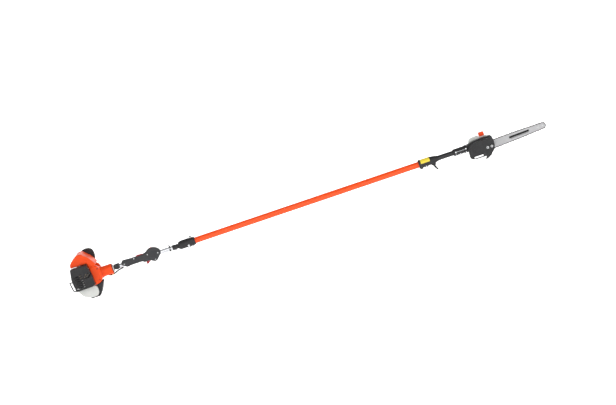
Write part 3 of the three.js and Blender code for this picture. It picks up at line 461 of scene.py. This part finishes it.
# ---------------------------------------------------------------------------------------------
# The throttle cable: a smooth black sleeve from the carburettor, under the neck and into the
# back of the grip. A cream ferrule grips it below the neck's mouth.
cable_route = [(-131, 70, 22), (-118, 70, 10), (-98, 70, -8), (-76, 70.5, -18), (-58, 67, -26),
               (-34, 34, -35), (-14, 10, -36), (4, 0, -30), (28, 0, -19), (59, 0, -15)]
bent_rod("cable_sleeve", cable_route, 3.8, black_rubber, "powerhead", "black_plastic", "throttle_cable")
cream_nylon = surface("cream_nylon", (0.80, 0.66, 0.42), 0.4, grain=700, bump=0.05)
bent_rod("cable_ferrule", [(-13, 6, -34.6), (-6, 3, -33.6), (-1, 1, -32.2)], 4.4, cream_nylon, "powerhead",
         "black_plastic")

# ---------------------------------------------------------------------------------------------
# The grip: two dark grey mouldings screwed together round the tube, ribbed where the hand goes.
# The trigger, its lockout and the stop switch are dark red and stand in slots between them.
grip_grey = surface("grip_grey", (0.028, 0.029, 0.031), 0.62, grain=1100, bump=0.25, tint=0.15, shine=0.3)
dark_red = surface("dark_red", (0.30, 0.014, 0.02), 0.36, grain=900, bump=0.05)
for side in ("right", "left"):
    shell = moulded(f"grip_{side}", 0.8, 4, 0.3)
    settle(shell, f"grip_shell_{side}", grip_grey, "powerhead", "grey_grip", f"grip_{side}")
for number, (x, z) in enumerate([(70, 3), (130, 15.2), (208, 12), (266, 4), (243, -27)]):
    socket_screw(f"grip_screw_{number}", place(x, -18.2, z), (0, -1, 0), 3.2, 2.4)
for number in range(9):
    x = 88 + number * 8.5
    for side in (-1, 1):
        bevelled_box(f"grip_rib_{number}_{'left' if side > 0 else 'right'}",
                     (x, side * 18.6 - 0.7, -8), (x + 3.4, side * 18.6 + 0.7, 13), grip_grey,
                     "powerhead", "grey_grip", 0.6)
controls = [("throttle_trigger", "trigger_blade", "trigger"), ("stop_switch", "stop_button", "stop"),
            ("throttle_lockout", "lockout_paddle", "lockout")]
for node, name, body in controls:
    control = moulded(node, 0.6, 4, 0.4)
    settle(control, name, dark_red, body, "red_plastic", node)

# ---------------------------------------------------------------------------------------------
# The rear coupling: two black nylon halves clamped by bolts over the drive tube and the outer
# pole, with a small wire strap hook on top.
for side in ("right", "left"):
    half = moulded(f"coupling_{side}", 0.8, 3, 0.3)
    settle(half, f"coupling_shell_{side}", black_nylon, "powerhead", "black_plastic", f"coupling_{side}")
for number, (x, z, depth) in enumerate([(442, -20.5, 12.5), (463, -23.5, 10), (362, -16, 8)]):
    socket_screw(f"coupling_bolt_{number}", place(x, -depth, z), (0, -1, 0), 4.6, 5)
socket_screw("coupling_clamp_bolt", place(442, -20, -13.5), (0, -1, 0), 5.6, 4.5)
hook_points = [(456, 0, 23.8), (456.5, 0, 28), (460, 0, 31.6), (464.5, 0, 31), (466.5, 0, 27.5),
               (467, 0, 23.8)]
bent_rod("strap_hook", hook_points, 2.8, black_coat, "powerhead", "dark_steel")

# ---------------------------------------------------------------------------------------------
# The outer pole: drawn aluminium tube, powder coated glossy orange, open at the front for the
# sliding pole.
orange_coat = surface("orange_coat", (0.74, 0.064, 0.005), 0.26, grain=520, bump=0.05, tint=0.03, coat=0.12,
                      shine=0.25)
pole = turned([(472, 17), (1821, 17)], wall=1.5, rounding=0.3, sides=96)
settle(pole, "orange_pole", orange_coat, "powerhead", "orange_tube", "outer_tube")

# ---------------------------------------------------------------------------------------------
# The front collar: black nylon clamped on the orange pole, tapering to the sliding pole, with a
# plain yellow patch, a clamp bolt and the lever that locks the telescope.
collar = moulded("front_collar", 0.8, 3, 0.3)
settle(collar, "lock_collar", black_nylon, "powerhead", "black_plastic", "front_collar")
yellow_film = surface("yellow_film", (0.70, 0.56, 0.04), 0.4, grain=600, bump=0.04, tint=0.04)
PATCH_RADIUS, PATCH_LENGTH, PATCH_THICKNESS = 0.0238, 0.052, 0.0003
PATCH_TOP_EDGE = 0.003
bpy.ops.mesh.primitive_cylinder_add(vertices=72, radius=PATCH_RADIUS, depth=PATCH_LENGTH,
                                    end_fill_type="NOTHING", location=place(1832, 0, 0),
                                    rotation=(0, math.pi / 2, 0))
patch = bpy.context.active_object
bpy.ops.object.transform_apply(location=True, rotation=True, scale=True)
bpy.ops.object.mode_set(mode="EDIT")
bpy.ops.mesh.select_all(action="DESELECT")
shape = bmesh.from_edit_mesh(patch.data)
for face in shape.faces:
    face.select = face.calc_center_median().z < pole_z + PATCH_TOP_EDGE
bmesh.update_edit_mesh(patch.data)
bpy.ops.mesh.delete(type="FACE")
bpy.ops.object.mode_set(mode="OBJECT")
apply_modifier(patch, "SOLIDIFY", thickness=PATCH_THICKNESS, offset=1)
bpy.ops.object.shade_smooth_by_angle(angle=math.radians(35))
settle(patch, "yellow_patch", yellow_film, "powerhead", "black_plastic")
socket_screw("collar_bolt", place(1831, -11.5, -22), (0, -1, 0), 4.6, 5)
lever = moulded("lock_lever", 0.6, 4, 0.4)
settle(lever, "telescope_lock_lever", black_nylon, "telescope_lever", "black_plastic", "lock_lever")

# ---------------------------------------------------------------------------------------------
# The sliding pole: black anodised tube that runs inside the orange one and carries the saw head
# in its clamp. Bolts and set screws along the clamp's slit close it.
black_anodised = surface("black_anodised", (0.020, 0.020, 0.022), 0.3, metallic=0.5, grain=600, bump=0.05)
inner = turned([(512, 14), (2060, 14)], wall=1.6, rounding=0.3, sides=96)
settle(inner, "black_pole", black_anodised, "sliding_pole", "black_painted", "inner_tube")
cast_black = surface("cast_black", (0.010, 0.010, 0.011), 0.42, grain=620, bump=0.22, tint=0.2, shine=0.4)
clamp = moulded("head_clamp", 0.8, 3, 0.3)
settle(clamp, "head_clamp_casting", cast_black, "sliding_pole", "black_painted", "head_clamp")
for number, (x, z) in enumerate([(2007, -16.5), (2034, -16.5), (2066, -16.5)]):
    socket_screw(f"clamp_bolt_{number}", place(x, -13, z), (0, -1, 0), 3.8, 4, "sliding_pole")
for number, (x, z) in enumerate([(2009, 1), (2068, 3)]):
    socket_screw(f"clamp_set_screw_{number}", place(x, -19.8, z), (0, -1, 0), 4.4, 2.6, "sliding_pole")
bevelled_box("clamp_slit_plate", (2016, -20.4, 0.6), (2060, -18.6, 2.2), brushed_alloy, "sliding_pole",
             "bright_alloy", 0.5)

# ---------------------------------------------------------------------------------------------
# The gear case: a black painted casting bolted to the clamp, its gears closed in by an alloy lid
# on the left. The lid is held by four small screws.
case = moulded("gear_case", 0.9, 3, 0.3)
settle(case, "gear_casting", cast_black, "sliding_pole", "black_painted", "gear_case")
case_lid = moulded("gear_case_lid", 0.7, 2, 0.35)
settle(case_lid, "gear_lid", cast_metal, "sliding_pole", "bright_alloy", "gear_case_lid")
for number, (x, z) in enumerate([(2170, 24), (2215, 22), (2218, -34), (2092, -38)]):
    socket_screw(f"case_screw_{number}", place(x, 25.6, z), (0, 1, 0), 3.4, 2.4, "sliding_pole")

# ---------------------------------------------------------------------------------------------
# The sprocket cover: black glass-filled nylon over the sprocket, slotted below and drawn out into
# a hook that pulls cut branches down. Two nuts on the bar studs hold it and the bar.
side_cover = moulded("sprocket_cover", 0.8, 3, 0.35)
settle(side_cover, "sprocket_guard", black_nylon, "sliding_pole", "black_plastic", "sprocket_cover")
NUT_RADIUS, NUT_HEIGHT, STUD_BORE = 0.0073, 0.0052, 0.0033
for number in (1, 2):
    centre = centre_of(f"bar_nut_{number}")
    bpy.ops.mesh.primitive_cylinder_add(vertices=6, radius=NUT_RADIUS, depth=NUT_HEIGHT,
                                        location=centre, rotation=(math.pi / 2, 0, 0))
    nut = bpy.context.active_object
    bpy.ops.mesh.primitive_cylinder_add(vertices=32, radius=STUD_BORE, depth=0.02, location=centre,
                                        rotation=(math.pi / 2, 0, 0))
    bore = bpy.context.active_object
    apply_modifier(nut, "BOOLEAN", object=bore, operation="DIFFERENCE", solver="EXACT")
    bpy.data.objects.remove(bore)
    apply_modifier(nut, "BEVEL", width=0.0007, segments=3, angle_limit=math.radians(40))
    bpy.ops.object.shade_smooth_by_angle(angle=math.radians(30))
    settle(nut, f"bar_nut_hex_{number}", zinc_steel, "sliding_pole", "steel", f"bar_nut_{number}")
for number, (x, z) in enumerate([(2104, -20), (2128, 8), (2160, 10)]):
    bevelled_box(f"cover_rib_{number}", (x, -42.4, z - 9), (x + 3, -40.4, z + 7), black_nylon,
                 "sliding_pole", "black_plastic", 0.8)

# ---------------------------------------------------------------------------------------------
# The guide bar: a laminated steel blade, ground bright, with a groove round its edge for the
# chain's drive links, four rivets that hold the nose and two plain etched bands on each face.
BAR_TILT = math.radians(1.9)
bar_frame = Matrix.Translation(place(2125, -21.3, -24)) @ Matrix.Rotation(-BAR_TILT, 4, "Y")
NOSE_U = 387.1
bar_circles = [(62, 21.4), (230, 19.6), (NOSE_U, 14.6)]


def bar_blank(grow, low_y, high_y):
    """The bar's outline as a plate: discs at its root, belly and nose, closed in by one hull."""
    discs = []
    for u, radius in bar_circles:
        bpy.ops.mesh.primitive_cylinder_add(vertices=128, radius=(radius + grow) / 1000,
                                            depth=(high_y - low_y) / 1000, rotation=(math.pi / 2, 0, 0),
                                            location=(u / 1000, (low_y + high_y) / 2000, 0))
        discs.append(bpy.context.active_object)
    select_only(*discs)
    bpy.ops.object.join()
    bpy.ops.object.transform_apply(location=True, rotation=True, scale=True)
    bpy.ops.object.mode_set(mode="EDIT")
    bpy.ops.mesh.select_all(action="SELECT")
    bpy.ops.mesh.convex_hull()
    bpy.ops.mesh.dissolve_limited(angle_limit=math.radians(0.5))
    bpy.ops.object.mode_set(mode="OBJECT")
    return bpy.context.active_object


def cut_away(piece, tool):
    apply_modifier(piece, "BOOLEAN", object=tool, operation="DIFFERENCE", solver="EXACT")
    bpy.data.objects.remove(tool)


def laid_on_bar(piece, name, material, body, slot, *nodes):
    """Puts a piece drawn along the bar where the bar lies, and settles it there."""
    piece.matrix_world = bar_frame @ piece.matrix_world
    return settle(piece, name, material, body, slot, *nodes)


bar = bar_blank(0, -2, 2)
groove = bar_blank(1, -0.75, 0.75)
cut_away(groove, bar_blank(-5, -1, 1))
cut_away(bar, groove)
tail_cut = ((0, -5, -40), (36, 5, 40))
stud_slot = ((46, -5, -8.6), (96, 5, 0.6))
sprocket_pocket = ((NOSE_U - 18, -0.9, -30), (NOSE_U + 40, 0.9, 30))
for low, high in (tail_cut, stud_slot, sprocket_pocket):
    bpy.ops.mesh.primitive_cube_add(size=1, location=(Vector(low) + Vector(high)) / 2000)
    slot_tool = bpy.context.active_object
    slot_tool.scale = (Vector(high) - Vector(low)) / 1000
    cut_away(bar, slot_tool)
apply_modifier(bar, "BEVEL", width=0.0003, segments=2, angle_limit=math.radians(50))
select_only(bar)
bpy.ops.object.shade_smooth_by_angle(angle=math.radians(30))
ground_steel = surface("ground_steel", (0.34, 0.34, 0.345), 0.45, metallic=0.3, grain=1200, bump=0.15,
                       tint=0.04, drawn_out=30)
laid_on_bar(bar, "bar_blade", ground_steel, "sliding_pole", "bright_alloy", "guide_bar")
etched_grey = surface("etched_grey", (0.012, 0.012, 0.012), 0.55, grain=900, bump=0.08, shine=0.2)
for side, name in [(-1, "right"), (1, "left")]:
    for number, (low, high) in enumerate([((190, -3.5), (306, 8)), ((196, -7.6), (300, -5.6))]):
        centre = ((low[0] + high[0]) / 2000, side * 0.00201, (low[1] + high[1]) / 2000)
        bpy.ops.mesh.primitive_cube_add(size=1, location=centre)
        band = bpy.context.active_object
        band.scale = ((high[0] - low[0]) / 1000, 0.00012, (high[1] - low[1]) / 1000)
        select_only(band)
        bpy.ops.object.transform_apply(location=False, rotation=False, scale=True)
        apply_modifier(band, "BEVEL", width=0.0006, segments=3, affect="EDGES")
        laid_on_bar(band, f"etched_band_{name}_{number}", etched_grey, "sliding_pole", "dark_steel")
    for number, (u, v) in enumerate([(NOSE_U - 24, 5), (NOSE_U - 24, -5), (NOSE_U - 32, 0), (NOSE_U, 0)]):
        bpy.ops.mesh.primitive_cylinder_add(vertices=24, radius=0.0018, depth=0.0005,
                                            rotation=(math.pi / 2, 0, 0),
                                            location=(u / 1000, side * 0.0021, v / 1000))
        rivet = bpy.context.active_object
        apply_modifier(rivet, "BEVEL", width=0.00018, segments=2, angle_limit=math.radians(50))
        laid_on_bar(rivet, f"nose_rivet_{name}_{number}", zinc_steel, "sliding_pole", "steel")

# ---------------------------------------------------------------------------------------------
# The saw chain: stamped steel drive links, tie straps and cutters, riveted in turn into a loop
# round the drive sprocket and the bar. Every fourth link is a cutter, left and right in turn.
chain_steel = surface("chain_steel", (0.008, 0.008, 0.009), 0.6, grain=900, bump=0.1, tint=0.2,
                      shine=0.15)
cutter_steel = surface("cutter_steel", (0.03, 0.03, 0.03), 0.45, metallic=0.4, grain=900, bump=0.05)
RIVET_LIFT = 2.7
CHAIN_PITCH = 9.32
SPROCKET_PITCH_RADIUS = 18.0
chain_circles = [(0, SPROCKET_PITCH_RADIUS), *bar_circles]


def cut_plate(outline, low_y, high_y):
    """A flat stamping: a many-sided face laid along its outline and drawn out to its thickness."""
    bpy.ops.mesh.primitive_circle_add(vertices=len(outline), radius=1, fill_type="NGON")
    plate = bpy.context.active_object
    for vertex, (x, z) in zip(plate.data.vertices, outline):
        vertex.co = (x / 1000, low_y / 1000, z / 1000)
    bpy.ops.object.mode_set(mode="EDIT")
    bpy.ops.mesh.select_all(action="SELECT")
    bpy.ops.mesh.extrude_region_move(TRANSFORM_OT_translate={"value": (0, (high_y - low_y) / 1000, 0)})
    bpy.ops.mesh.select_all(action="SELECT")
    bpy.ops.mesh.normals_make_consistent(inside=False)
    bpy.ops.object.mode_set(mode="OBJECT")
    return plate


def joined(*pieces):
    select_only(*pieces)
    bpy.ops.object.join()
    return bpy.context.active_object


def belt_points(circles, lift):
    """Points close together along a belt that is `lift` outside the circles, from the nose round."""
    upper = []
    edge = 0.0
    for (u, radius), (next_u, next_radius) in zip(circles[::-1], circles[::-1][1:]):
        tangent = math.acos((next_radius - radius) / (u - next_u))
        steps = 1 + int((tangent - edge) / 0.04)
        upper += [(u, radius + lift, edge + (tangent - edge) * step / steps)
                  for step in range(steps + 1)]
        edge = tangent
    u, radius = circles[0]
    upper += [(u, radius + lift, edge + (math.pi - edge) * step / 60) for step in range(61)]
    half = [Vector((u + reach * math.cos(angle), 0, reach * math.sin(angle))) for u, reach, angle in upper]
    return half + [Vector((point.x, 0, -point.z)) for point in half[-2:0:-1]]


def walked(points, count):
    """`count` points equally spaced along a closed line."""
    ring = points + [points[0]]
    lengths = [(b - a).length for a, b in zip(ring, ring[1:])]
    pitch = sum(lengths) / count
    spots = []
    index, passed = 0, 0.0
    for number in range(count):
        while passed + lengths[index] < number * pitch:
            passed += lengths[index]
            index += 1
        spots.append(ring[index].lerp(ring[index + 1], (number * pitch - passed) / lengths[index]))
    return spots


loop = belt_points(chain_circles, RIVET_LIFT)
link_count = 2 * round(sum((b - a).length for a, b in zip(loop, loop[1:])) / CHAIN_PITCH / 2)
spots = walked(loop, link_count)
half_pitch = (spots[1] - spots[0]).length / 2000

waist = [(-6.4, 0.4), (-5.4, 1.9), (-3.9, 2.0), (-1.5, 1.1), (1.5, 1.1), (3.9, 2.0), (5.4, 1.9),
         (6.4, 0.4)]
drive_link = cut_plate(waist + [(5.8, -1.6), (3.6, -2.8), (-3.6, -2.8), (-5.8, -1.6)], -0.62, 0.62)
strap_outline = waist + [(5.8, -1.5), (3.4, -2.2), (-3.4, -2.2), (-5.8, -1.5)]
cutter_outline = [(-6.4, 0.4), (-5.8, 3.2), (-1.0, 3.4), (0.2, 1.0), (2.6, 0.9), (3.4, 2.9), (5.6, 2.7),
                  (6.4, 0.4), (5.8, -1.5), (3.4, -2.2), (-3.4, -2.2), (-5.8, -1.5)]
tooth_outline = [(-6.0, 2.5), (-6.2, 3.3), (-0.4, 3.55), (-0.8, 2.7)]
PLATE_INNER, PLATE_OUTER = 0.72, 1.8


def rivets():
    """The two pins that hold a link's plates together, one at each end."""
    pins = []
    for x in (-half_pitch, half_pitch):
        bpy.ops.mesh.primitive_cylinder_add(vertices=10, radius=0.0013, depth=0.0044, location=(x, 0, 0),
                                            rotation=(math.pi / 2, 0, 0))
        pins.append(bpy.context.active_object)
    return pins


def side_plate(outline, side, inner=PLATE_INNER, outer=PLATE_OUTER):
    return cut_plate(outline, *sorted((side * inner, side * outer)))


strap = joined(side_plate(strap_outline, -1), side_plate(strap_outline, 1), *rivets())
cutters = []
for side in (-1, 1):
    tooth = side_plate(tooth_outline, side, 1.0, 3.1)
    cutters.append(joined(side_plate(cutter_outline, side), tooth,
                          side_plate(strap_outline, -side), *rivets()))

for stamping in (drive_link, strap, *cutters):
    select_only(stamping)
    bpy.ops.object.transform_apply(location=True, rotation=True, scale=True)
links = {"steel": [], "cutter": []}
for number in range(link_count):
    start, end = spots[number], spots[(number + 1) % link_count]
    if number % 2 == 0:
        pattern, group = drive_link, "steel"
    elif number % 8 == 1:
        pattern, group = cutters[0], "cutter"
    elif number % 8 == 5:
        pattern, group = cutters[1], "cutter"
    else:
        pattern, group = strap, "steel"
    link = pattern.copy()
    link.data = pattern.data.copy()
    bpy.context.collection.objects.link(link)
    along = (start - end).normalized()
    outward = Vector((along.z, 0, -along.x))
    if outward.dot((start + end) / 2 - Vector((NOSE_U / 2, 0, 0))) < 0:
        outward = -outward
    across = outward.cross(along)
    middle_of_link = (start + end) / 2000
    turned_link = Matrix((along, across, outward)).transposed().to_4x4()
    link.matrix_world = Matrix.Translation(middle_of_link) @ turned_link
    links[group].append(link)
for stamping in (drive_link, strap, *cutters):
    bpy.data.objects.remove(stamping)
chain = joined(*links["steel"])
bpy.ops.object.transform_apply(location=True, rotation=True, scale=True)
laid_on_bar(chain, "chain_links", chain_steel, "sliding_pole", "dark_steel", "saw_chain")
teeth = joined(*links["cutter"])
bpy.ops.object.transform_apply(location=True, rotation=True, scale=True)
laid_on_bar(teeth, "chain_cutters", cutter_steel, "sliding_pole", "dark_steel")

# ---------------------------------------------------------------------------------------------
# The bar oil tank: milky polyethylene bolted to the gear case's left side, its neck closed by a
# ribbed orange cap.
oil_shell = moulded("oil_tank", 0.9, 5, 0.35)
settle(oil_shell, "oil_tank_shell", milky, "sliding_pole", "milky_plastic", "oil_tank")
knurled_cap("oil_filler_lid", centre_of("oil_cap"), (0, 0, 1), 16.2, 21, 14, orange_nylon,
            "oil_filler_cap", "orange_plastic", "oil_cap")

# ---------------------------------------------------------------------------------------------
# What lies inside: clutch, crank, piston, cylinder and ignition at the engine, the two shafts in
# the pole, the gears and sprockets in the head. Each keeps its solid and gets its own metal.
machined_steel = surface("machined_steel", (0.50, 0.50, 0.51), 0.3, metallic=1.0, grain=600, bump=0.06,
                         tint=0.08)
hardened_steel = surface("hardened_steel", (0.17, 0.17, 0.18), 0.38, metallic=0.9, grain=700, bump=0.08,
                         tint=0.12)
die_cast = surface("die_cast", (0.60, 0.60, 0.60), 0.5, metallic=0.9, grain=420, bump=0.3, tint=0.08)
filter_foam = surface("filter_foam", (0.03, 0.03, 0.03), 0.95, grain=260, bump=0.9, tint=0.4)
sintered_bush = surface("sintered_bush", (0.48, 0.32, 0.13), 0.5, metallic=0.7, grain=500, bump=0.15,
                        tint=0.12)
inner_finishes = [
    (machined_steel, "crank_half_front", "crank_half_rear", "lower_drive_shaft", "upper_drive_shaft",
     "spark_plug", "bevel_pinion", "bevel_gear_shaft", "sprocket_shaft"),
    (hardened_steel, "clutch_drum", "drive_sprocket", "nose_sprocket"),
    (die_cast, "crankcase", "cylinder", "piston", "connecting_rod", "flywheel", "clutch_shoes"),
    (black_nylon, "ignition_coil", "starter_pulley"),
    (filter_foam, "air_filter"),
    (sintered_bush, "slide_bush"),
]
for finish, *node_names in inner_finishes:
    for node_name in node_names:
        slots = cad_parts[node_name].data.materials
        slots.clear()
        slots.append(finish)
